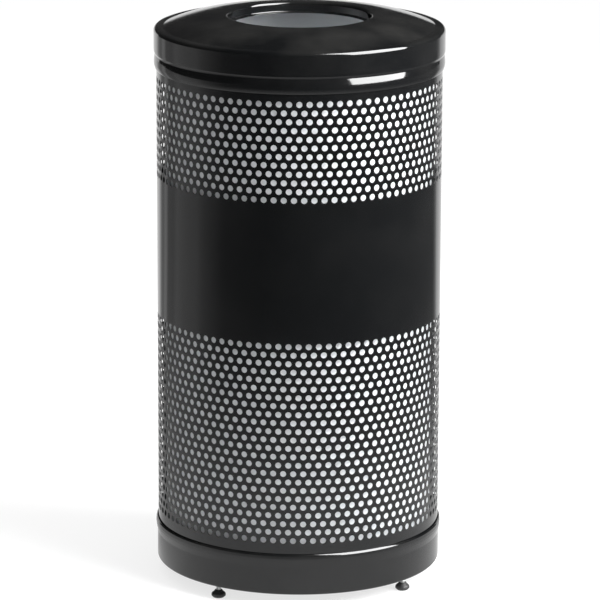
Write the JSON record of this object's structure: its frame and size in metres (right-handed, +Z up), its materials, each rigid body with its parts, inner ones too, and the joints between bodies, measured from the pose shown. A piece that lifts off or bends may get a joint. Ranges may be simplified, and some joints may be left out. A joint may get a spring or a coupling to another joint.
{
  "type": "open-top litter receptacle",
  "caption": "Round perforated steel litter receptacle with an open-top lift-off lid, a rigid liner and levelling feet.",
  "frame": {"origin": "on the floor, on the can's vertical axis", "axes": "+Z up along the can's axis, -Y to the front, +X to the right"},
  "size_m": [0.4572, 0.4572, 0.9017],
  "materials": {
    "lid_enamel": "gloss black enamel on spun steel",
    "body_enamel": "gloss black enamel on perforated sheet steel",
    "base_enamel": "gloss black enamel on spun steel",
    "liner_plastic": "pale grey rigid plastic, smooth",
    "zinc_plate": "bright zinc plating",
    "glide_nylon": "black moulded nylon"
  },
  "bodies": {
    "can": {"body_shell": "body_enamel", "top_hoop": "body_enamel", "base_pan": "base_enamel", "foot_nut_1": "zinc_plate", "foot_nut_2": "zinc_plate", "foot_nut_3": "zinc_plate", "foot_nut_4": "zinc_plate"},
    "lid": {"lid": "lid_enamel"},
    "liner": {"liner": "liner_plastic"},
    "foot_1": {"foot_pad_1": "glide_nylon", "foot_stud_1": "zinc_plate"},
    "foot_2": {"foot_pad_2": "glide_nylon", "foot_stud_2": "zinc_plate"},
    "foot_3": {"foot_pad_3": "glide_nylon", "foot_stud_3": "zinc_plate"},
    "foot_4": {"foot_pad_4": "glide_nylon", "foot_stud_4": "zinc_plate"}
  },
  "joints": [
    {"name": "lid_lift", "type": "slide", "parent": "can", "child": "lid", "axis": [0, 0, 1], "range_m": [0, 1]},
    {"name": "liner_lift", "type": "slide", "parent": "can", "child": "liner", "axis": [0, 0, 1], "range_m": [0, 0.87]},
    {"name": "foot_1_level", "type": "slide", "parent": "can", "child": "foot_1", "axis": [0, 0, -1], "range_m": [-0.009, 0.012]},
    {"name": "foot_2_level", "type": "slide", "parent": "can", "child": "foot_2", "axis": [0, 0, -1], "range_m": [-0.009, 0.012]},
    {"name": "foot_3_level", "type": "slide", "parent": "can", "child": "foot_3", "axis": [0, 0, -1], "range_m": [-0.009, 0.012]},
    {"name": "foot_4_level", "type": "slide", "parent": "can", "child": "foot_4", "axis": [0, 0, -1], "range_m": [-0.009, 0.012]}
  ],
  "couplings": [
    {"joint": "liner_lift", "follows": "lid_lift", "ratio": 0.87}
  ]
}
